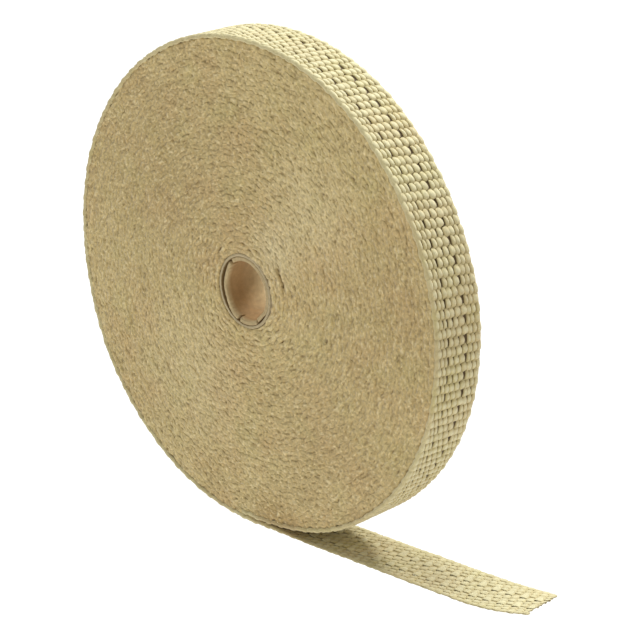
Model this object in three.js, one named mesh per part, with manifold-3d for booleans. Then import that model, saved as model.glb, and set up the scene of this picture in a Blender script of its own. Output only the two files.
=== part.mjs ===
// Exhaust heat wrap: a long woven glass-fibre tape, wound flat on a cardboard core.
// Millimetres, +Z up. The roll stands on its rim with its axis along Y.
// Its tape comes off at the bottom, and the free end lies on the floor towards +X.
// The origin is on the floor, under the middle of the whole object.
import * as THREE from 'three';
import { mergeVertices } from 'three/addons/utils/BufferGeometryUtils.js';
import Module from 'manifold-3d';

const wasm = await Module();
wasm.setup();

// Tape
const tapeWidth = 25.4;
const tapeThickness = 2.45;
const turnCount = 38;
const selvedgeRounding = 0.8;

// Core
const coreOuterDiameter = 33.2;
const coreWall = 3.2;
const coreRecess = 0.3;
const coreClearance = 0.3;

// Free end
const tailLength = 152;
const tailFlatLength = 112;
const tailNearLift = 5.7;
const tailFarLift = 1.7;
const tailCutSlant = 7.5;

// Smoothness
const rollSegments = 32;
const coreSegments = 48;
const tailSteps = 16;

// Sizes that follow from the ones above
const coreOuterRadius = coreOuterDiameter / 2;
const coreInnerRadius = coreOuterRadius - coreWall;
const coreLength = tapeWidth - 2 * coreRecess;
const rollBoreRadius = coreOuterRadius + coreClearance;
const rollRadius = rollBoreRadius + turnCount * tapeThickness;
const tailReach = tailLength + tailCutSlant / 2;
// The turned solid's flat sides are at the true radii, so its corners are a little further out.
const halfFacet = Math.PI / rollSegments;
const cornerStretch = 1 / Math.cos(halfFacet);
const rollCentreX = (rollRadius - tailReach) / 2;

const tapeMaterial = new THREE.MeshStandardMaterial({ color: 0xc9b88a, roughness: 0.9, metalness: 0 });
const coreMaterial = new THREE.MeshStandardMaterial({ color: 0xb09a7c, roughness: 0.85, metalness: 0 });

// One end of the roll, from the bore outwards: every turn has a crest between two grooves.
function endOfTurns(groovePlane, crestPlane) {
  const points = [new THREE.Vector2(rollBoreRadius, groovePlane)];
  for (let turn = 0; turn < turnCount; turn += 1) {
    const turnInnerRadius = rollBoreRadius + turn * tapeThickness;
    points.push(new THREE.Vector2(turnInnerRadius + tapeThickness / 2, crestPlane));
    points.push(new THREE.Vector2(turnInnerRadius + tapeThickness, groovePlane));
  }
  return points;
}

// The wound turns as one turned solid around Y, with the bore for the core.
function woundTurns() {
  const crest = tapeWidth / 2;
  const groove = crest - selvedgeRounding;
  const profile = [...endOfTurns(-groove, -crest), ...endOfTurns(groove, crest).reverse()];
  profile.push(profile[0].clone());
  const turns = new THREE.LatheGeometry(profile, rollSegments, halfFacet);
  turns.scale(cornerStretch, 1, cornerStretch);
  turns.translate(rollCentreX, 0, rollRadius);
  return turns;
}

// How high the free end's underside is above the floor at a distance from the roll's lowest line.
function tailLift(along, across) {
  const past = Math.max(0, along - tailFlatLength) / (tailLength - tailFlatLength);
  const nearShare = 0.5 - across / tapeWidth;
  return past * past * (tailFarLift + nearShare * (tailNearLift - tailFarLift));
}

// The free end: flat on the floor, then curling up a little, with a slanted cut.
function freeEnd() {
  const tail = new THREE.BoxGeometry(tailLength, tapeWidth, tapeThickness, tailSteps, 1, 1);
  tail.translate(tailLength / 2, 0, tapeThickness / 2);
  const place = tail.getAttribute('position');
  for (let index = 0; index < place.count; index += 1) {
    const along = place.getX(index);
    const across = place.getY(index);
    const slant = -(across / tapeWidth) * tailCutSlant * (along / tailLength);
    place.setX(index, rollCentreX + along + slant);
    place.setZ(index, place.getZ(index) + tailLift(along, across));
  }
  return tail;
}

function toSolid(geometry) {
  const bare = geometry.clone();
  bare.deleteAttribute('normal');
  bare.deleteAttribute('uv');
  const merged = mergeVertices(bare, 1e-4);
  const vertProperties = Float32Array.from(merged.getAttribute('position').array);
  const triVerts = dropFlatTriangles(merged.getIndex().array);
  return new wasm.Manifold(new wasm.Mesh({ numProp: 3, vertProperties, triVerts }));
}

// Merging can leave triangles with two corners in one place, and they are left out.
function dropFlatTriangles(index) {
  const kept = [];
  for (let corner = 0; corner < index.length; corner += 3) {
    const [a, b, c] = index.slice(corner, corner + 3);
    if (a !== b && b !== c && c !== a) {
      kept.push(a, b, c);
    }
  }
  return Uint32Array.from(kept);
}

function toGeometry(solid) {
  const mesh = solid.getMesh();
  const geometry = new THREE.BufferGeometry();
  geometry.setAttribute('position', new THREE.BufferAttribute(mesh.vertProperties, mesh.numProp));
  geometry.setIndex(new THREE.BufferAttribute(mesh.triVerts, 1));
  geometry.computeVertexNormals();
  return geometry;
}

// The tape is one piece, so its free end is joined to the wound turns.
function wrapTape() {
  const solid = toSolid(woundTurns()).add(toSolid(freeEnd()));
  const tape = new THREE.Mesh(toGeometry(solid), tapeMaterial);
  tape.name = 'wrap_tape';
  return tape;
}

// The cardboard tube that the tape starts on.
function coreTube() {
  const halfLength = coreLength / 2;
  const profile = [
    new THREE.Vector2(coreInnerRadius, -halfLength),
    new THREE.Vector2(coreOuterRadius, -halfLength),
    new THREE.Vector2(coreOuterRadius, halfLength),
    new THREE.Vector2(coreInnerRadius, halfLength),
    new THREE.Vector2(coreInnerRadius, -halfLength),
  ];
  const tube = new THREE.Mesh(new THREE.LatheGeometry(profile, coreSegments), coreMaterial);
  tube.position.set(rollCentreX, 0, rollRadius);
  tube.name = 'core_tube';
  return tube;
}

const exhaustHeatWrap = new THREE.Group();
exhaustHeatWrap.add(wrapTape(), coreTube());

export default exhaustHeatWrap;
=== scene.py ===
"""Exhaust heat wrap: woven glass-fibre tape wound flat on a cardboard core, its free end on the floor.

Lengths are in metres. The tape is drawn in its own coordinates: along, which is 0 where the tape leaves
the floor, positive into the roll and negative on the free end; across, from the front end face; and
proud, outwards from the tape's middle.
"""
import math
from collections import namedtuple

import bpy
import numpy as np
from mathutils import Matrix, Vector


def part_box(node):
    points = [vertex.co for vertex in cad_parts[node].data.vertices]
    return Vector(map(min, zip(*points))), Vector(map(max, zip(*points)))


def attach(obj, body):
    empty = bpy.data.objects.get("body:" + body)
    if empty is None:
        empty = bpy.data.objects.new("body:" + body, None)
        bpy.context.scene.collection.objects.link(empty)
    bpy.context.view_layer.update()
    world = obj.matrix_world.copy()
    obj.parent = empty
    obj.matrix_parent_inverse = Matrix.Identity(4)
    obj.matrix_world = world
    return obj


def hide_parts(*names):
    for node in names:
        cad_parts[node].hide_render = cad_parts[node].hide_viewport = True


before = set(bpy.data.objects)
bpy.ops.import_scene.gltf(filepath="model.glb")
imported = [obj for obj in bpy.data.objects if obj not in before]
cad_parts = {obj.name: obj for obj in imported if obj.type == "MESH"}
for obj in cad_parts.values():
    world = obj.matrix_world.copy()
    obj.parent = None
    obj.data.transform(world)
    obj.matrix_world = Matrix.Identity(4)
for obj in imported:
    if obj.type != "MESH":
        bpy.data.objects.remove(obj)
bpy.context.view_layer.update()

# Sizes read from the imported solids
tape_low, tape_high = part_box("wrap_tape")
core_low, core_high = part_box("core_tube")
AXIS_X = (core_low.x + core_high.x) / 2
AXIS_Z = (core_low.z + core_high.z) / 2
ROLL_RADIUS = tape_high.z - AXIS_Z
CORE_RADIUS = (core_high.x - core_low.x) / 2
CORE_HALF_LENGTH = core_high.y
TAPE_WIDTH = tape_high.y - tape_low.y
TAIL_REACH = tape_high.x - AXIS_X

# The winding
TURNS = 38
CORE_CLEARANCE = 0.0003
PITCH = (ROLL_RADIUS - CORE_RADIUS - CORE_CLEARANCE) / TURNS
MIDDLE_RADIUS = ROLL_RADIUS - PITCH / 2
# How far the settled roll stands off a true circle, in equal steps from its bottom, clockwise as seen
# from the front
BULGES = (0, 0.0012, 0.0014, 0.0004, 0.0006, 0.0006, 0.0008, 0.0012, 0.0008, 0.0018, 0.0021, 0.0019)
# Where each turn starts to step inwards by one pitch, as a share of the turn from the bottom
STEP_START = 0.80
# The part of the innermost turn at which the tape ends, pressed thin between the core and the next turn
INNER_END = 0.95
# How far the core sits off the roll's middle, and how far out the turns follow it
CORE_SHIFT_X = -0.0008
CORE_SHIFT_Z = -0.0006
CORE_SHIFT_REACH = 0.035
# The core is pressed a little oval: its width and its height as shares of their size when round
CORE_OVAL_X = 0.97
CORE_OVAL_Z = 1.01

# The weave: warp ends run along the tape, and the hidden weft crosses it once every pick.
# Each band is its number of ends, its first end's place as a share of the width from the back, and
# the step from one end to the next.
PICK = 0.00383
WARP_BANDS = ((6, 0.035, 0.0505), (1, 0.362, 0), (6, 0.4447, 0.0617), (5, 0.806, 0.0455))
WEFT_SKEW = 0.12
WEFT_DRIFT = 0.10 * PICK
WEFT_DRIFT_SPACING = 5 * PICK
YARN_SWING = 0.00056
YARN_HALF_THICKNESS = 0.00060
# The outermost end on each side swings less, and is thick enough to lie on the turn under it
SELVEDGE_SWING = 0.00020
SELVEDGE_HALF_THICKNESS = 0.00096
SELVEDGE_REACH = 0.0004
# The side of the outermost end that faces the tape's edge is kept clear of the grooves' painted shade
SELVEDGE_CROWN = 0.6
SELVEDGE_CROWN_START = 0.7
CROSSING_HALF_WIDTH = 0.00068
CROSSING_THICKNESS = 0.78
FLOAT_HALF_WIDTH_MOST = 0.00210
FLOAT_LEAN = 0.00055
# Powers under 1 make a yarn's swing, its width along it and its section fuller than a sine
SWING_POWER = 0.5
WIDTH_POWER = 0.38
SECTION_POWER = 0.5
# How uneven the floats are: their phase in radians, their size and height as shares, and their place
PHASE_STRAY = 0.16
PHASE_STRAY_SPACING = 2.1 * PICK
SIZE_STRAY = 0.12
HEIGHT_STRAY = 0.12
PLACE_STRAY = 0.00016
PLACE_STRAY_SPACING = 1.7 * PICK
# A slit opens between two floats of the same row: the end on its back side, and its place across.
# In the rows between, the floats lap over it, and the end that crosses under it sags.
SLITS = ((5, 0.338), (11, 0.757))
SLIT_HALF_WIDTH = 0.00045
SLIT_LAP = 0.00030
SLIT_SAG = 0.00035
# The weft web: its thickness between ribs as a share of that on them, and how far it stops short of the edge
WEB_HALF_THICKNESS = 0.00018
WEB_VALLEY = 0.45
WEB_INSET = 0.0008

# The free end
TAIL_SLANT = 0.0075
TAIL_LENGTH = TAIL_REACH - TAIL_SLANT / 2
TAIL_FLAT = 0.112
TAIL_NEAR_LIFT = 0.0060
TAIL_FAR_LIFT = 0.0017
# Its weave settles within a short way to be flatter and wider than on the roll
TAIL_RELIEF = 0.42
TAIL_SPREAD = 0.16
TAIL_SETTLING = 0.03
# Its cut runs back towards the front, where the last yarn strays past it, and is a little frayed
TAIL_CUT_BACK = 0.0024
TAIL_STRAY = 0.0016
TAIL_FRAY = 0.0003
# The web's painted shade lifts a little once it is clear of the roll: how much, and from where to where
TAIL_WEB_LIGHT = 0.22
TAIL_WEB_LIGHT_START = 0.020
TAIL_WEB_LIGHT_END = 0.060
# Painted shade that darkens the yarn in the wedge between the roll and the free end
WEDGE_SHADE = 0.55
WEDGE_MIDDLE = 0.009
WEDGE_REACH = 0.018

# Smoothness of the meshes
YARN_STEPS_PER_PICK = 6
YARN_SIDES = 8
EDGE_STEPS_PER_PICK = 6
WEB_STEPS_PER_PICK = 4
WEB_STEPS_ACROSS = 8
CORE_STEPS = 360

# Seeds, one for each thing that varies
SEED = 11
WALL_SEED = SEED + 40
LINER_SEED = SEED + 50
WEFT_DRIFT_SEED = SEED + 100
PHASE_SEED = SEED + 120
SIZE_SEED = SEED + 200
PLACE_SEED = SEED + 300
TONE_SEED = SEED + 400
EDGE_TONE_SEED = SEED + 500
FRAY_SEED = SEED + 700
EDGE_SEEDS = (SEED + 1000, SEED + 2000)
# What an edge's own seed gains for each thing that varies along it
SWING_SEED_STEP = 3
LEVEL_SEED_STEP = 4
BUMP_SEED_STEP = 10
PIT_SEED_STEP = 20
# How many values are drawn for what varies from step to step
SEEDED_VALUES = 4096


# Numbers that vary smoothly


def smooth_noise(x, spacing, seed):
    """A seeded value from -1 to 1 for each x, which wanders over about one spacing."""
    position = np.asarray(x, float) / spacing
    low = np.floor(position).astype(int)
    first = int(low.min())
    knots = np.random.default_rng(seed).uniform(-1, 1, int(low.max()) - first + 2)
    share = position - low
    share = share * share * (3 - 2 * share)
    return knots[low - first] * (1 - share) + knots[low - first + 1] * share


def wander(x, waves, seed):
    """The sum of several smooth noises. Each of waves is a reach and a spacing."""
    return sum(reach * smooth_noise(x, spacing, seed + n) for n, (reach, spacing) in enumerate(waves))


def value_per_step(index, seed):
    """One seeded value from -1 to 1 for each whole number."""
    values = np.random.default_rng(seed).uniform(-1, 1, SEEDED_VALUES)
    return values[np.asarray(index, int) % SEEDED_VALUES]


def smooth_step(x, start, stop):
    share = np.clip((np.asarray(x, float) - start) / (stop - start), 0, 1)
    return share * share * (3 - 2 * share)


def signed_power(x, power):
    return np.sign(x) * np.abs(x) ** power


ARC_RAMP = 0.3


def arc_share(angle, start, stop):
    """From 0 at both ends of an arc to 1 over its middle, for angles in radians and ends in degrees."""
    turned = (np.degrees(angle) - start) % 360
    span = (stop - start) % 360
    ramp = span * ARC_RAMP
    share = smooth_step(turned, 0, ramp) * (1 - smooth_step(turned, span - ramp, span))
    return np.where(turned < span, share, 0)


# Where a point of the tape lies


def turn_angle(along):
    """The angle wound on from the roll's bottom, clockwise from the front, at a length along the tape."""
    inside = np.maximum(MIDDLE_RADIUS**2 - PITCH * along / math.pi, 0)
    return (MIDDLE_RADIUS - np.sqrt(inside)) * 2 * math.pi / PITCH


def along_at_angle(angle):
    return MIDDLE_RADIUS * angle - PITCH * angle**2 / (4 * math.pi)


WOUND_LENGTH = along_at_angle(2 * math.pi * (TURNS - 1 + INNER_END))
FIRST_TURN_LENGTH = along_at_angle(2 * math.pi)


def pressed(angle):
    """How far the tape's inner end is thinned: 0 along the tape, and 1 where no thickness is left."""
    turns = np.asarray(angle) / (2 * math.pi)
    return smooth_step(turns - (TURNS - 1), STEP_START, 1)


def core_shift(radius):
    """How far a point at a radius follows the core off the roll's middle, in x and in z."""
    share = 1 - smooth_step(radius - CORE_RADIUS, 0, CORE_SHIFT_REACH)
    return CORE_SHIFT_X * share, CORE_SHIFT_Z * share


def wound_radius(angle):
    """The radius of the tape's middle: each turn is round until it steps in under the one before it.
    The roll has settled, so it bulges a little at its sides."""
    turns = np.asarray(angle) / (2 * math.pi)
    whole = np.floor(turns)
    radius = MIDDLE_RADIUS - PITCH * (whole + smooth_step(turns - whole, STEP_START, 1) - pressed(angle) / 2)
    share = (radius - CORE_RADIUS) / (MIDDLE_RADIUS - CORE_RADIUS)
    step = (turns - whole) * len(BULGES)
    low = np.floor(step).astype(int)
    within = smooth_step(step - low, 0, 1)
    bulges = np.array(BULGES)
    bulge = bulges[low % len(bulges)] * (1 - within) + bulges[(low + 1) % len(bulges)] * within
    return radius + bulge * share


def cut_back(across):
    """How far the free end's cut lies short of its full length."""
    return TAIL_CUT_BACK * (1 - across / TAPE_WIDTH)


def settling(along):
    """From 0 on the roll to 1 where the free end's weave has settled."""
    return smooth_step(-along, 0, TAIL_SETTLING)


def tail_lift(out, across):
    past = np.maximum(out - TAIL_FLAT, 0) / (TAIL_LENGTH - TAIL_FLAT)
    far_share = across / TAPE_WIDTH
    return past**2 * (TAIL_NEAR_LIFT + far_share * (TAIL_FAR_LIFT - TAIL_NEAR_LIFT))


def place(along, across, proud):
    """Points in the row frame for the tape's own coordinates."""
    along, across, proud = np.broadcast_arrays(along, across, proud)
    angle = turn_angle(np.maximum(along, 0))
    radius = wound_radius(angle) + proud
    out = np.maximum(-along, 0)
    slant = TAIL_SLANT * (0.5 - across / TAPE_WIDTH) * out / TAIL_LENGTH
    shift_x, shift_z = core_shift(radius)
    x = AXIS_X - radius * np.sin(angle) + out + slant + shift_x
    y = across - TAPE_WIDTH / 2
    z = AXIS_Z - radius * np.cos(angle) + tail_lift(out, across) + shift_z
    return np.stack([x, y, z], -1)


# Meshes from rings of points


def tube_quads(rings, sides, first):
    """The side faces of a tube whose points are numbered ring by ring."""
    ring = np.arange(rings - 1)[:, None] * sides
    side = np.arange(sides)[None, :]
    following = (side + 1) % sides
    quads = np.stack([ring + side, ring + following, ring + sides + following, ring + sides + side], -1)
    return quads.reshape(-1, 4) + first


def build_mesh(name, points, quads, caps, layers):
    """A smooth closed mesh. Each of layers is a UV map's name with two numbers for each point."""
    loops = np.concatenate([quads.ravel(), *[np.asarray(cap) for cap in caps]]).astype(np.int32)
    sizes = np.concatenate([np.full(len(quads), 4), [len(cap) for cap in caps]]).astype(np.int32)
    starts = np.concatenate([[0], np.cumsum(sizes)[:-1]]).astype(np.int32)
    mesh = bpy.data.meshes.new(name)
    mesh.vertices.add(len(points))
    mesh.vertices.foreach_set("co", np.asarray(points, np.float32).ravel())
    mesh.loops.add(len(loops))
    mesh.loops.foreach_set("vertex_index", loops)
    mesh.polygons.add(len(sizes))
    mesh.polygons.foreach_set("loop_start", starts)
    mesh.polygons.foreach_set("loop_total", sizes)
    mesh.polygons.foreach_set("use_smooth", np.ones(len(sizes), bool))
    mesh.update(calc_edges=True)
    for layer_name, pairs in layers.items():
        layer = mesh.uv_layers.new(name=layer_name)
        layer.data.foreach_set("uv", np.asarray(pairs, np.float32)[loops].ravel())
    mesh.validate()
    piece = bpy.data.objects.new(name, mesh)
    bpy.context.scene.collection.objects.link(piece)
    return piece


def pair(first, second):
    return np.stack(np.broadcast_arrays(first, second), -1).reshape(-1, 2)


def tube_piece(name, tubes):
    """Closed tubes as one piece. Each tube is its points, ring by ring, and its layers."""
    points, quads, caps = [], [], []
    layers = {layer: [] for layer in tubes[0][1]}
    first = 0
    for tube, tube_layers in tubes:
        rings, sides = tube.shape[:2]
        quads.append(tube_quads(rings, sides, first))
        last = first + (rings - 1) * sides
        caps.append(list(range(first + sides - 1, first - 1, -1)))
        caps.append(list(range(last, last + sides)))
        points.append(tube.reshape(-1, 3))
        for layer, pairs in tube_layers.items():
            layers[layer].append(pairs)
        first += rings * sides
    joined = {layer: np.concatenate(pairs) for layer, pairs in layers.items()}
    return build_mesh(name, np.concatenate(points), np.concatenate(quads), caps, joined)


# The warp yarns


def warp_places():
    """Each warp end's place as a share of the width from the back, in order from the back."""
    return np.array([first + step * n for count, first, step in WARP_BANDS for n in range(count)])


WARPS = warp_places()
OUTERMOST_WARPS = (0, len(WARPS) - 1)


def float_limits(end):
    """How far a float reaches to the front and to the back: halfway to its row's next float, or to a slit."""
    limits = []
    for other in (end + 2, end - 2):
        if 0 <= other < len(WARPS):
            reach = abs(WARPS[other] - WARPS[end]) * TAPE_WIDTH / 2
            for slit_end, slit in SLITS:
                if {end, other} == {slit_end, slit_end + 2}:
                    reach = abs(slit - WARPS[end]) * TAPE_WIDTH - SLIT_HALF_WIDTH
                elif {end, other} == {slit_end - 1, slit_end + 1}:
                    reach += SLIT_LAP
        else:
            to_edge = WARPS[end] if other < 0 else 1 - WARPS[end]
            reach = max(to_edge * TAPE_WIDTH, CROSSING_HALF_WIDTH) + SELVEDGE_REACH
        limits.append(min(reach, FLOAT_HALF_WIDTH_MOST))
    return limits


def pick_phase(along, across):
    """Half a turn of phase for each pick, with the weft's skew and its uneven spacing."""
    drift = WEFT_DRIFT * smooth_noise(along, WEFT_DRIFT_SPACING, WEFT_DRIFT_SEED)
    return math.pi * (along + drift - WEFT_SKEW * across) / PICK


def free_end_start(end):
    """Where a warp yarn is cut at the free end."""
    short = cut_back((1 - WARPS[end]) * TAPE_WIDTH) + TAIL_FRAY * value_per_step(end, FRAY_SEED)
    return -TAIL_LENGTH + short - (TAIL_STRAY if end == len(WARPS) - 1 else 0)


def sag_into_slit(end, high):
    """How far the low stretches of the end that crosses under a slit sink."""
    crosses_slit = end - 1 in [slit_end for slit_end, _ in SLITS]
    return SLIT_SAG * np.maximum(-high, 0) if crosses_slit else 0


def yarn_crown(end, along, around, outward, relief):
    """How far each point lies on the weave's crown, from 0 in its depth to about 1, which sets the yarn's
    painted shade and painted highlight.
    """
    crown = np.abs(outward) / relief[:, None] / (YARN_SWING + YARN_HALF_THICKNESS)
    # The side facing the tape's edge is kept clear of the grooves' painted shade
    if end in OUTERMOST_WARPS:
        to_edge = np.cos(around) * (1 if end == 0 else -1)
        crown = np.maximum(crown, SELVEDGE_CROWN * smooth_step(to_edge, 0, SELVEDGE_CROWN_START))
    # Painted shade: in the wedge under the roll the crown value falls, so the yarn takes the darker groove
    # colours
    wedge_shade_share = 1 - smooth_step(np.abs(along + WEDGE_MIDDLE), 0, WEDGE_REACH)
    return crown * (1 - WEDGE_SHADE * wedge_shade_share)[:, None]


def warp_yarn(end, start, stop):
    """The points and layers of one warp yarn from start to stop along the tape, ring by ring."""
    steps = int(round((stop - start) / PICK * YARN_STEPS_PER_PICK))
    along = np.linspace(start, stop, steps + 1)
    home = (1 - WARPS[end]) * TAPE_WIDTH
    phase = pick_phase(along, home) + math.pi * end
    phase = phase + PHASE_STRAY * smooth_noise(along, PHASE_STRAY_SPACING, PHASE_SEED + end)
    swing = np.cos(phase)
    full = np.abs(swing) ** WIDTH_POWER
    high = signed_power(swing, SWING_POWER)
    float_number = np.round(phase / math.pi)
    settled = settling(along)
    relief = 1 - (1 - TAIL_RELIEF) * settled
    size = 1 + SIZE_STRAY * value_per_step(float_number, SIZE_SEED + end) + TAIL_SPREAD * settled
    tone = value_per_step(float_number, TONE_SEED + end)
    front, back = float_limits(end)
    half_width = CROSSING_HALF_WIDTH + ((front + back) / 2 * size - CROSSING_HALF_WIDTH) * full
    stray = PLACE_STRAY * smooth_noise(along, PLACE_STRAY_SPACING, PLACE_SEED + end)
    middle = home + (back - front) / 2 * full + stray
    outermost = end in OUTERMOST_WARPS
    thickness = SELVEDGE_HALF_THICKNESS if outermost else YARN_HALF_THICKNESS
    half_thickness = relief * thickness * (CROSSING_THICKNESS + (1 - CROSSING_THICKNESS) * full)
    reach = relief * (SELVEDGE_SWING if outermost else YARN_SWING)
    proud = reach * high * (1 + HEIGHT_STRAY * tone) - sag_into_slit(end, high)
    around = 2 * math.pi * np.arange(YARN_SIDES) / YARN_SIDES
    lean = FLOAT_LEAN * high[:, None] * np.cos(around)
    across = middle[:, None] + half_width[:, None] * np.cos(around)
    section = signed_power(np.sin(around), SECTION_POWER)
    outward = proud[:, None] + half_thickness[:, None] * section
    # The flatter weave lies lower, so that it still touches the floor
    lowered = ((1 - relief) * PITCH / 2)[:, None]
    points = place(along[:, None] + lean, across, outward + lowered)
    layers = {
        "weave": pair(along[:, None] / PICK, end + np.arange(YARN_SIDES) / YARN_SIDES),
        "exposure": pair(yarn_crown(end, along, around, outward, relief), tone[:, None] / 2 + 0.5),
    }
    return points, layers


# The weft, a thin ribbed web between the warp yarns, coloured with the slits' painted shade


def weft_web(start, stop):
    steps = int(round((stop - start) / PICK * WEB_STEPS_PER_PICK))
    along = np.linspace(start, stop, steps + 1)[:, None]
    over = np.linspace(WEB_INSET, TAPE_WIDTH - WEB_INSET, WEB_STEPS_ACROSS + 1)
    across = np.concatenate([over, over[::-1]])[None, :]
    side = np.concatenate([np.ones(len(over)), -np.ones(len(over))])[None, :]
    along = along + cut_back(across) * np.maximum(-along, 0) / TAIL_LENGTH
    rib = np.cos(pick_phase(along, across)) ** 2
    lowered = (1 - TAIL_RELIEF) * PITCH / 2 * settling(along)
    proud = side * WEB_HALF_THICKNESS * (WEB_VALLEY + (1 - WEB_VALLEY) * rib)
    # Painted shade: the web takes the dark slit colour, lifted a little on the free end away from the roll
    light = TAIL_WEB_LIGHT * smooth_step(-along, TAIL_WEB_LIGHT_START, TAIL_WEB_LIGHT_END)
    layers = {
        "weave": pair(across / PICK, along / PICK),
        "exposure": pair(light + np.zeros_like(proud), 0.5),
    }
    return place(along, across, proud + lowered), layers


# The wound turns under the outermost one, whose woven edges show on both end faces

# The rows of points on an edge, as shares of the pitch from the tape's middle
EDGE_ROWS = (-0.66, -0.33, 0, 0.33, 0.66)
# How many rows the fibre streaks take as one yarn's width
EDGE_ROWS_PER_YARN = 4
# How deep the groove between turns is, and how many times that it gains at the core
EDGE_GROOVE = 0.00008
EDGE_GROOVE_GAIN = 4
EDGE_BUMP = 0.00030
EDGE_BUMP_SPACING = 0.0010
EDGE_PIT = 0.00065
EDGE_PIT_SPACING = 0.0016
EDGE_PIT_START = 0.3
# How deep a pit is on the edge's middle row, as a share of its depth on the outer rows
EDGE_PIT_AT_MIDDLE = 0.5
# Reaches and spacings: how the whole edge rises and sinks, and how its wave strays from the weave's beat
EDGE_LEVEL_WAVES = ((0.00008, 0.05), (0.00010, 0.004))
EDGE_PHASE_WAVES = ((5, 0.35), (1.5, 0.06), (0.5, 0.011))
# How far the edge waves in and out, far from the core and at it, and how unevenly
EDGE_SWING = 0.00032
EDGE_SWING_AT_CORE = 0.00062
EDGE_SWING_STRAY = 0.6
EDGE_SWING_SPACING = 0.009
EDGE_TONE_SPACING = 0.006
CORE_NEIGHBOURHOOD = 0.020
# The innermost turn lies still against the core: where the waves start, and where they are full
WAVES_START = 0.2 * PITCH
WAVES_FULL = 1.5 * PITCH
# How exposed the edge is, and what its groove, bumps, pits and parting take from that
EDGE_EXPOSURE = 0.74
EDGE_EXPOSURE_GAIN = 0.12
GROOVE_SHADE = 0.02
GROOVE_SHADE_GAIN = 0.42
BUMP_SHADE = 0.30
PIT_SHADE = 0.58
PARTING_SHADE = 0.8
# A dark line where two turns part near the core: its radius, half width and depth, and its arc in degrees
PARTING_RADIUS = 0.0252
PARTING_HALF_WIDTH = 0.0006
PARTING_DEPTH = 0.0012
PARTING_ARC = (4, 40)


def edge_rows(along, seed):
    """The depth under the end face, the proud place and the exposure of each row of one edge's points."""
    angle = turn_angle(along)
    from_core = wound_radius(angle) - CORE_RADIUS
    near_core = 1 - smooth_step(from_core, 0, CORE_NEIGHBOURHOOD)
    phase = math.pi * along / PICK + wander(along, EDGE_PHASE_WAVES, seed)
    swing = EDGE_SWING + (EDGE_SWING_AT_CORE - EDGE_SWING) * near_core
    stray = 1 + EDGE_SWING_STRAY * smooth_noise(along, EDGE_SWING_SPACING, seed + SWING_SEED_STEP)
    wave = swing * np.cos(phase) * stray * smooth_step(from_core, WAVES_START, WAVES_FULL)
    level = wander(along, EDGE_LEVEL_WAVES, seed + LEVEL_SEED_STEP)
    left = 1 - pressed(angle)
    in_parting_arc = arc_share(-math.pi / 2 - angle, *PARTING_ARC)
    groove = EDGE_GROOVE * (1 + EDGE_GROOVE_GAIN * near_core)
    groove_shade = GROOVE_SHADE + GROOVE_SHADE_GAIN * near_core
    rows = []
    for number, share in enumerate(EDGE_ROWS):
        outward = abs(share) / EDGE_ROWS[-1]
        bump = smooth_noise(along + share * PITCH, EDGE_BUMP_SPACING, seed + BUMP_SEED_STEP + number)
        speck = smooth_noise(along, EDGE_PIT_SPACING, seed + PIT_SEED_STEP + number)
        pit_share = EDGE_PIT_AT_MIDDLE + (1 - EDGE_PIT_AT_MIDDLE) * outward
        pit = np.maximum(speck - EDGE_PIT_START, 0) / (1 - EDGE_PIT_START) * pit_share
        proud = (share * PITCH + wave) * left
        from_parting = (from_core + CORE_RADIUS + proud - PARTING_RADIUS) / PARTING_HALF_WIDTH
        parted = np.exp(-from_parting**2) * in_parting_arc
        depth = level + groove * outward**2 + EDGE_BUMP * bump + EDGE_PIT * pit + PARTING_DEPTH * parted
        hidden = groove_shade * outward**2 + BUMP_SHADE * bump + PIT_SHADE * pit + PARTING_SHADE * parted
        exposure = np.clip(EDGE_EXPOSURE + EDGE_EXPOSURE_GAIN * near_core - hidden, 0, 1)
        rows.append((depth, proud, exposure))
    return rows


def wound_strip(start, stop):
    """A stretch of the wound tape as one closed strip with woven edges."""
    steps = int(round((stop - start) / PICK * EDGE_STEPS_PER_PICK))
    along = np.linspace(start, stop, steps + 1)
    front, back = [edge_rows(along, seed) for seed in EDGE_SEEDS]
    back = [(TAPE_WIDTH - depth, proud, exposure) for depth, proud, exposure in back]
    across, proud, exposure = [np.stack(column, 1) for column in zip(*front[::-1], *back)]
    points = place(along[:, None], across, proud)
    tone = smooth_noise(along, EDGE_TONE_SPACING, EDGE_TONE_SEED) / 2 + 0.5
    layers = {
        "weave": pair(along[:, None] / PICK, np.arange(across.shape[1])[None, :] / EDGE_ROWS_PER_YARN),
        "exposure": pair(exposure, tone[:, None]),
    }
    return points, layers


# The cardboard core: an outer wall, and a liner that has come away from it in two places

WALL_THICKNESS = 0.0014
LINER_THICKNESS = 0.0019
LINER_RECESS = 0.0002
# How rounded and how rough the cut ends are, and over how many radians the roughness wanders
END_ROUNDING = 0.00025
END_ROUGHNESS = 0.00010
END_ROUGHNESS_SPACING = 0.06
# How far in, as shares of the length, the bore has rings of points for the loosening to curve by
BORE_RINGS = (0.12, 0.35)
# Where the liner has come away: the start and end of the arc in degrees, and how far at its middle
LOOSE_ARCS = ((116, 236, 0.0014), (-66, -32, 0.0007))
LOOSE_DEPTH = 0.018
# How far the liner's inner face comes away, as a share of its outer face
LOOSE_INSIDE = 0.8
# Tears in the liner's end: the place in degrees, the width in degrees and the depth
TEARS = ((-112, 7, 0.0030), (-61, 6, 0.0020), (124, 9, 0.0040))
# The depths between which the grey of the cut end gives way to the bore's brown
END_GRAIN_START = 0.0006
END_GRAIN_STOP = 0.0024


def loosening(angle, depth):
    """How far the liner stands off the wall, less and less towards the inside of the tube."""
    away = sum(reach * arc_share(angle, start, stop) for start, stop, reach in LOOSE_ARCS)
    return away * (1 - smooth_step(depth, 0, LOOSE_DEPTH))


def torn(angle):
    return sum(depth * arc_share(angle, at - wide / 2, at + wide / 2) for at, wide, depth in TEARS)


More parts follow.
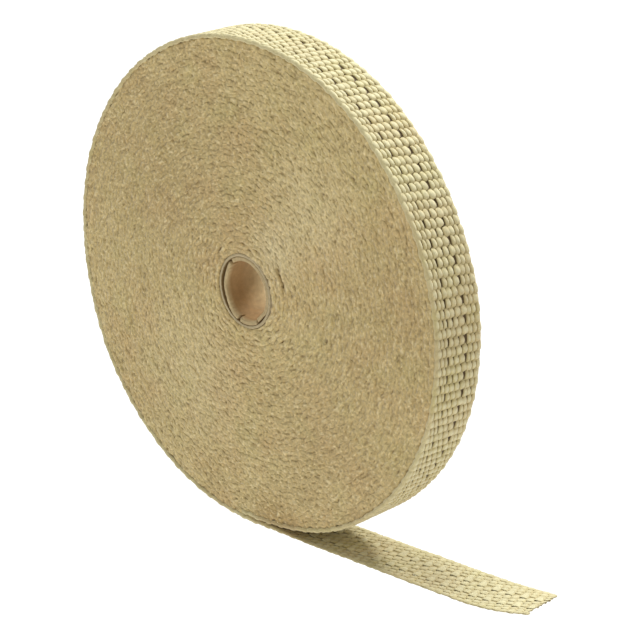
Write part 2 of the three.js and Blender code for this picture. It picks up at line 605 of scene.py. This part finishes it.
def ring_piece(name, profile):
    """A closed ring about the core's axis. profile gives, at each angle, its points' radii and y places,
    and which of them face the crevice between wall and liner, where the colour is painted shade."""
    angle = 2 * math.pi * np.arange(CORE_STEPS) / CORE_STEPS
    radius, y, facing = profile(angle)
    sides = radius.shape[1]
    points = np.stack([
        AXIS_X + CORE_SHIFT_X + CORE_OVAL_X * radius * np.cos(angle)[:, None],
        y,
        AXIS_Z + CORE_SHIFT_Z + CORE_OVAL_Z * radius * np.sin(angle)[:, None],
    ], -1)
    ring = np.arange(CORE_STEPS)[:, None] * sides
    following_ring = (np.arange(CORE_STEPS)[:, None] + 1) % CORE_STEPS * sides
    side = np.arange(sides)[None, :]
    following = (side + 1) % sides
    quads = np.stack([ring + side, ring + following, following_ring + following, following_ring + side], -1)
    depth = CORE_HALF_LENGTH - np.abs(y)
    layers = {
        "plies": pair(angle[:, None] / (2 * math.pi), radius / WALL_THICKNESS),
        "exposure": pair(1 - smooth_step(depth, END_GRAIN_START, END_GRAIN_STOP), facing),
    }
    return build_mesh(name, points.reshape(-1, 3), quads.reshape(-1, 4), [], layers)


def rounded_ring(angle, inner, outer, front, back, seed):
    """The radii and y places of a ring's points, with softened ends and a slightly uneven front."""
    rough = END_ROUGHNESS * smooth_noise(angle, END_ROUGHNESS_SPACING, seed)[:, None]
    face = front + rough
    length = back - front
    profile = [
        (outer, front + 0.5 * length),
        (outer, face + END_ROUNDING),
        (outer - END_ROUNDING, face),
        ((inner + outer) / 2, face + 0.5 * rough),
        (inner + END_ROUNDING, face),
        (inner, face + END_ROUNDING),
        *[(inner, front + share * length) for share in BORE_RINGS],
        (inner, back - END_ROUNDING),
        (inner + END_ROUNDING, back),
        (outer - END_ROUNDING, back),
    ]
    columns = zip(*profile)
    radius, y = [np.concatenate([part + np.zeros_like(rough) for part in column], 1) for column in columns]
    return radius, y


def wall_profile(angle):
    attached = CORE_RADIUS - WALL_THICKNESS
    front = -CORE_HALF_LENGTH + np.zeros_like(angle)[:, None]
    radius, y = rounded_ring(angle, attached, CORE_RADIUS, front, CORE_HALF_LENGTH, WALL_SEED)
    return radius, y, np.isclose(radius, attached)


def liner_profile(angle):
    attached = CORE_RADIUS - WALL_THICKNESS
    front = (-CORE_HALF_LENGTH + LINER_RECESS + torn(angle))[:, None]
    radius, y = rounded_ring(angle, attached - LINER_THICKNESS, attached, front, CORE_HALF_LENGTH, LINER_SEED)
    away = loosening(angle[:, None], y + CORE_HALF_LENGTH)
    outer_share = (radius - attached + LINER_THICKNESS) / LINER_THICKNESS
    away = away * (LOOSE_INSIDE + (1 - LOOSE_INSIDE) * outer_share)
    return radius - away, y, np.isclose(radius, attached)


# Shader nodes


def linear(red, green, blue):
    """A display colour from 0 to 255 as the shader's linear colour."""
    def channel(value):
        share = value / 255
        return share / 12.92 if share <= 0.04045 else ((share + 0.055) / 1.055) ** 2.4
    return (channel(red), channel(green), channel(blue), 1)


def new_material(name):
    material = bpy.data.materials.new(name)
    material.use_nodes = True
    nodes = material.node_tree.nodes
    nodes.clear()
    output = nodes.new("ShaderNodeOutputMaterial")
    shader = nodes.new("ShaderNodeBsdfPrincipled")
    material.node_tree.links.new(shader.outputs[0], output.inputs[0])
    return material, nodes, material.node_tree.links, shader


def noise_node(nodes, links, source, scale, detail, roughness=0.5):
    noise = nodes.new("ShaderNodeTexNoise")
    noise.inputs["Scale"].default_value = scale
    noise.inputs["Detail"].default_value = detail
    noise.inputs["Roughness"].default_value = roughness
    links.new(source, noise.inputs["Vector"])
    return noise.outputs["Fac"]


def mix_colors(nodes, links, factor, first, second, blend="MIX"):
    mix = nodes.new("ShaderNodeMix")
    mix.data_type = "RGBA"
    mix.blend_type = blend
    sockets = [mix.inputs[name] for name in ("Factor", "A", "B")]
    for socket, value in zip(sockets, (factor, first, second)):
        if hasattr(value, "is_output"):
            links.new(value, socket)
        else:
            socket.default_value = value
    return mix.outputs["Result"]


def scaled(nodes, links, source, scale, turn=0):
    mapping = nodes.new("ShaderNodeMapping")
    mapping.inputs["Scale"].default_value = scale
    mapping.inputs["Rotation"].default_value = (0, 0, turn)
    links.new(source, mapping.inputs["Vector"])
    return mapping.outputs[0]


def contrast(nodes, links, source, low, high, to_low=0, to_high=1):
    ranged = nodes.new("ShaderNodeMapRange")
    ranged.inputs["From Min"].default_value = low
    ranged.inputs["From Max"].default_value = high
    ranged.inputs["To Min"].default_value = to_low
    ranged.inputs["To Max"].default_value = to_high
    links.new(source, ranged.inputs["Value"])
    return ranged.outputs[0]


def distance_from(nodes, links, source, x, z):
    """The distance from the line along Y that lies at x and z from the roll's middle."""
    flat_place = nodes.new("ShaderNodeVectorMath")
    flat_place.operation = "MULTIPLY"
    flat_place.inputs[1].default_value = (1, 0, 1)
    links.new(source, flat_place.inputs[0])
    distance = nodes.new("ShaderNodeVectorMath")
    distance.operation = "DISTANCE"
    distance.inputs[1].default_value = (AXIS_X + x, 0, AXIS_Z + z)
    links.new(flat_place.outputs[0], distance.inputs[0])
    return distance.outputs["Value"]


def uv_map(nodes, name):
    node = nodes.new("ShaderNodeUVMap")
    node.uv_map = name
    return node.outputs[0]


def uv_pair(nodes, links, name):
    """The two numbers of a UV map."""
    both = nodes.new("ShaderNodeSeparateXYZ")
    links.new(uv_map(nodes, name), both.inputs[0])
    return both.outputs[0], both.outputs[1]


def add_bump(nodes, links, shader, height, distance, strength):
    bump = nodes.new("ShaderNodeBump")
    bump.inputs["Strength"].default_value = strength
    bump.inputs["Distance"].default_value = distance
    links.new(height, bump.inputs["Height"])
    links.new(bump.outputs[0], shader.inputs["Normal"])


# The glass yarn

# Its colours where it lies dull and bright, on crowns, where a lighter colour is a painted highlight, and in
# grooves, where a darker colour is painted shade, how strong its warm and green patches are, and the
# darkest and lightest of its fibre streaks and of its mottle
YarnLook = namedtuple("YarnLook", "name dull bright crown groove warmth greenness streaks mottle woolly")

# The tape's edges are woolly: their fibres lie every way
EDGE_LOOK = YarnLook(
    name="tape_edge", dull=linear(203, 180, 120), bright=linear(217, 194, 133),
    crown=linear(232, 212, 158), groove=linear(172, 146, 90), warmth=0.6, greenness=0.3,
    streaks=(0.78, 1.1), mottle=(0.72, 1.18), woolly=True,
)
FLAT_LOOK = YarnLook(
    name="tape_flat", dull=linear(204, 190, 140), bright=linear(216, 203, 153),
    crown=linear(222, 212, 166), groove=linear(192, 175, 120), warmth=0.25, greenness=0.5,
    streaks=(0.84, 1.05), mottle=(0.88, 1.06), woolly=False,
)
# Painted shade: the dark colour of the slits, of the weft web seen through them and of the deepest grooves
SLIT_SHADE_COLOR = linear(90, 68, 30)
WARM_COLOR = linear(206, 170, 112)
GREEN_COLOR = linear(194, 182, 112)
# Broad stains and faded places, and last the painted shade in the wedge between the roll and the free end:
# x and z from the roll's middle, how far they reach, and their colour
STAINS_AND_PAINTED_SHADE = (
    (0.019, 0.021, 0.019, linear(236, 220, 170)),
    (0.042, 0.040, 0.032, linear(232, 212, 158)),
    (-0.045, 0.048, 0.075, linear(184, 157, 102)),
    (0.088, 0.004, 0.050, linear(186, 156, 100)),
    (0.050, -0.060, 0.055, linear(196, 168, 112)),
    (-0.040, -0.045, 0.045, linear(226, 206, 150)),
    # Painted shade: the golden-brown shadow in the wedge between the roll and the free end
    (0.012, -0.109, 0.022, linear(160, 112, 30)),
)
STAIN_AND_PAINTED_SHADE_STRENGTH = 0.6
# The exposures over which the painted shade of a slit turns to groove, the groove's painted shade to plain
# yarn, and plain yarn to the crown's painted highlight
SLIT_RANGE = (0.03, 0.25)
GROOVE_RANGE = (0.25, 0.66)
CROWN_RANGE = (0.80, 1.0)
# How strong the crown's painted highlight is
CROWN_STRENGTH = 0.8
# Noise scales, the noise over which patches show, and the range that gives fibres and specks their contrast
WARM_SCALE = 45
WARM_RANGE = (0.45, 0.75)
GREEN_SCALE = 62
GREEN_RANGE = (0.48, 0.75)
SPECK_SCALE = 700
FIBRE_STRETCH = (1.6, 22, 1)
FIBRE_LEAN = 0.35
GRAIN_RANGE = (0.3, 0.7)
FINE_ROUGHNESS = 0.6
# Bumps: their depth and their strength
WOOLLY_BUMP = (0.0006, 0.6)
FIBRE_BUMP = (0.0002, 0.4)
YARN_ROUGHNESS = 0.75
YARN_SHEEN = 0.2
YARN_SHEEN_ROUGHNESS = 0.5


def yarn_body(nodes, links, look, object_place, tone):
    """The colour of plain yarn, with its warm and green patches, its stains and the painted shade in the
    wedge under the roll.
    """
    body = mix_colors(nodes, links, tone, look.dull, look.bright)
    warm = noise_node(nodes, links, object_place, WARM_SCALE, 2)
    warm = contrast(nodes, links, warm, *WARM_RANGE, 0, look.warmth)
    body = mix_colors(nodes, links, warm, body, WARM_COLOR)
    for x, z, reach, color in STAINS_AND_PAINTED_SHADE:
        distance = distance_from(nodes, links, object_place, x, z)
        near = contrast(nodes, links, distance, reach, 0, 0, STAIN_AND_PAINTED_SHADE_STRENGTH)
        body = mix_colors(nodes, links, near, body, color)
    green = noise_node(nodes, links, object_place, GREEN_SCALE, 2)
    green = contrast(nodes, links, green, *GREEN_RANGE, 0, look.greenness)
    return mix_colors(nodes, links, green, body, GREEN_COLOR)


def yarn_material(look):
    """Texturised glass yarn: painted shade in its grooves and slits and a painted highlight on its crowns,
    with fine fibres, uneven tone and a soft sheen.
    """
    material, nodes, links, shader = new_material(look.name)
    object_place = nodes.new("ShaderNodeTexCoord").outputs["Object"]
    exposed, tone = uv_pair(nodes, links, "exposure")
    body = yarn_body(nodes, links, look, object_place, tone)
    # Painted shade: the colour darkens to groove and slit colours where the exposure is low
    color = mix_colors(nodes, links, contrast(nodes, links, exposed, *SLIT_RANGE), SLIT_SHADE_COLOR, look.groove)
    color = mix_colors(nodes, links, contrast(nodes, links, exposed, *GROOVE_RANGE), color, body)
    # Painted highlight: the crowns lighten towards the crown colour
    crown_highlight = contrast(nodes, links, exposed, *CROWN_RANGE, 0, CROWN_STRENGTH)
    color = mix_colors(nodes, links, crown_highlight, color, look.crown)
    fibre_place = scaled(nodes, links, uv_map(nodes, "weave"), FIBRE_STRETCH, FIBRE_LEAN)
    fibres = noise_node(nodes, links, fibre_place, 1.0, 3, FINE_ROUGHNESS)
    specks = noise_node(nodes, links, object_place, SPECK_SCALE, 2, FINE_ROUGHNESS)
    for grain, strength in ((fibres, look.streaks), (specks, look.mottle)):
        shade = contrast(nodes, links, grain, *GRAIN_RANGE, *strength)
        color = mix_colors(nodes, links, 1.0, color, shade, "MULTIPLY")
    links.new(color, shader.inputs["Base Color"])
    shader.inputs["Roughness"].default_value = YARN_ROUGHNESS
    shader.inputs["Sheen Weight"].default_value = YARN_SHEEN
    shader.inputs["Sheen Roughness"].default_value = YARN_SHEEN_ROUGHNESS
    if look.woolly:
        add_bump(nodes, links, shader, specks, *WOOLLY_BUMP)
    else:
        add_bump(nodes, links, shader, fibres, *FIBRE_BUMP)
    return material


# The cardboard

WALL_PALE = linear(200, 182, 142)
WALL_DARK = linear(168, 152, 116)
LINER_PALE = linear(204, 182, 136)
LINER_DARK = linear(172, 150, 106)
BORE_COLOR = linear(168, 134, 86)
# Painted shade in the crevice between the wall and the loosened liner, which also shows in the tears
CREVICE_SHADE_COLOR = linear(124, 98, 54)
PLY_STRETCH = (6, 5, 1)
PLY_RANGE = (0.35, 0.65)
BOARD_GRAIN_SCALE = 500
BOARD_GRAIN = (0.86, 1.08)
BOARD_BUMP = (0.0002, 0.3)
BOARD_ROUGHNESS = 0.85


def cardboard_material(name, pale, dark):
    """Wound board: greyish on its cut ends, where its plies show as fine lines, brown in the bore, and
    painted shade on its faces towards the crevice between wall and liner.
    """
    material, nodes, links, shader = new_material(name)
    object_place = nodes.new("ShaderNodeTexCoord").outputs["Object"]
    ply_place = scaled(nodes, links, uv_map(nodes, "plies"), PLY_STRETCH)
    plies = noise_node(nodes, links, ply_place, 1.0, 3, FINE_ROUGHNESS)
    grain = noise_node(nodes, links, object_place, BOARD_GRAIN_SCALE, 4, FINE_ROUGHNESS)
    at_end, crevice_shade = uv_pair(nodes, links, "exposure")
    color = mix_colors(nodes, links, contrast(nodes, links, plies, *PLY_RANGE), dark, pale)
    color = mix_colors(nodes, links, at_end, BORE_COLOR, color)
    # Painted shade on the faces towards the crevice
    color = mix_colors(nodes, links, crevice_shade, color, CREVICE_SHADE_COLOR)
    shade = contrast(nodes, links, grain, *GRAIN_RANGE, *BOARD_GRAIN)
    color = mix_colors(nodes, links, 1.0, color, shade, "MULTIPLY")
    links.new(color, shader.inputs["Base Color"])
    shader.inputs["Roughness"].default_value = BOARD_ROUGHNESS
    add_bump(nodes, links, shader, grain, *BOARD_BUMP)
    return material


# Camera

CAMERA_LENS = 115.03
CAMERA_SENSOR = 36
CAMERA_AZIMUTH = math.radians(48.018)
CAMERA_ELEVATION = math.radians(17.308)
CAMERA_DISTANCE = 0.88335
CAMERA_PAN = 0.02482
CAMERA_TILT = -0.01961
CAMERA_ROLL = math.radians(-3.307)


def add_camera():
    """The photograph's view: a long lens, a little above the roll's axis, turned about its own axis."""
    middle = Vector((AXIS_X, 0, AXIS_Z))
    back = Vector((
        math.sin(CAMERA_AZIMUTH) * math.cos(CAMERA_ELEVATION),
        -math.cos(CAMERA_AZIMUTH) * math.cos(CAMERA_ELEVATION),
        math.sin(CAMERA_ELEVATION),
    ))
    up = Vector((0, 0, 1))
    right = (-back).cross(up).normalized()
    ahead = (-back + CAMERA_PAN * right + CAMERA_TILT * right.cross(-back)).normalized()
    right = ahead.cross(up).normalized()
    above = right.cross(ahead)
    turned_right = right * math.cos(CAMERA_ROLL) + above * math.sin(CAMERA_ROLL)
    turned_above = above * math.cos(CAMERA_ROLL) - right * math.sin(CAMERA_ROLL)
    data = bpy.data.cameras.new("camera")
    data.lens = CAMERA_LENS
    data.sensor_width = CAMERA_SENSOR
    camera = bpy.data.objects.new("camera", data)
    axes = Matrix((turned_right, turned_above, -ahead)).transposed().to_4x4()
    camera.matrix_world = Matrix.Translation(middle + CAMERA_DISTANCE * back) @ axes
    bpy.context.scene.collection.objects.link(camera)
    bpy.context.scene.camera = camera


# Light and floor

WORLD_STRENGTH = 0.46
# Each light's name, place, size, power and colour
LIGHTS = (
    ("key", (AXIS_X, 0.15, 1.6), 0.6, 15.8, (0.87, 0.94, 1)),
    ("back", (-0.05, 1.0, 1.15), 0.4, 16, (1, 1, 1)),
)
FLOOR_REACH = 6
FLOOR_BASE = (0.02, 0.02, 0.02, 1)
FLOOR_GLOW = 1.15


def add_light(name, place_at, size, power, color):
    """A square lamp that faces the roll's middle."""
    data = bpy.data.lights.new(name, "AREA")
    data.shape = "SQUARE"
    data.size = size
    data.energy = power
    data.color = color
    light = bpy.data.objects.new(name, data)
    light.location = place_at
    toward = Vector((AXIS_X, 0, AXIS_Z)) - Vector(place_at)
    light.rotation_euler = toward.to_track_quat("-Z", "Y").to_euler()
    bpy.context.scene.collection.objects.link(light)


def add_floor():
    """A plain white floor that glows evenly, so that no shadow falls on it."""
    mesh = bpy.data.meshes.new("floor")
    corners = [(x * FLOOR_REACH, y * FLOOR_REACH, 0) for x, y in ((-1, -1), (1, -1), (1, 1), (-1, 1))]
    mesh.from_pydata(corners, [], [(0, 1, 2, 3)])
    floor = bpy.data.objects.new("floor", mesh)
    bpy.context.scene.collection.objects.link(floor)
    material, _, _, shader = new_material("floor_white")
    shader.inputs["Base Color"].default_value = FLOOR_BASE
    shader.inputs["Roughness"].default_value = 1
    shader.inputs["Emission Color"].default_value = (1, 1, 1, 1)
    shader.inputs["Emission Strength"].default_value = FLOOR_GLOW
    mesh.materials.append(material)


def add_studio():
    world = bpy.data.worlds.new("studio")
    world.use_nodes = True
    world.node_tree.nodes["Background"].inputs["Color"].default_value = (1, 1, 1, 1)
    world.node_tree.nodes["Background"].inputs["Strength"].default_value = WORLD_STRENGTH
    bpy.context.scene.world = world
    for light in LIGHTS:
        add_light(*light)
    add_floor()
    bpy.context.scene.view_settings.view_transform = "Standard"


# The whole object

# How far the outermost turn's yarns run on under the start of that turn
OVERLAP = 0.012
WOUND_PIECES = 3


def add_tape():
    cuts = np.linspace(FIRST_TURN_LENGTH, WOUND_LENGTH, WOUND_PIECES + 1)
    wound = [
        tube_piece(f"wound_turns_{n + 1}", [wound_strip(cuts[n], cuts[n + 1])]) for n in range(WOUND_PIECES)
    ]
    outer = [
        tube_piece(f"outer_turn_warps_{first + 1}",
                   [warp_yarn(end, 0, FIRST_TURN_LENGTH + OVERLAP) for end in range(first, len(WARPS), 2)])
        for first in (0, 1)
    ]
    outer.append(tube_piece("outer_turn_weft", [weft_web(0, FIRST_TURN_LENGTH)]))
    free_yarns = [warp_yarn(end, free_end_start(end), 0) for end in range(len(WARPS))]
    warps = tube_piece("free_end_warps", free_yarns)
    web = tube_piece("free_end_weft", [weft_web(-TAIL_LENGTH, 0)])
    edge = yarn_material(EDGE_LOOK)
    flat = yarn_material(FLAT_LOOK)
    for piece in (*wound, *outer, warps, web):
        piece.data.materials.append(edge if piece in wound else flat)
        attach(piece, "root")
    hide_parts("wrap_tape")


def add_core():
    wall = ring_piece("core_wall", wall_profile)
    wall.data.materials.append(cardboard_material("core_wall_board", WALL_PALE, WALL_DARK))
    liner = ring_piece("core_liner", liner_profile)
    liner.data.materials.append(cardboard_material("core_liner_board", LINER_PALE, LINER_DARK))
    for piece in (wall, liner):
        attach(piece, "root")
    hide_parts("core_tube")


add_camera()
add_tape()
add_core()
add_studio()

bpy.context.view_layer.update()
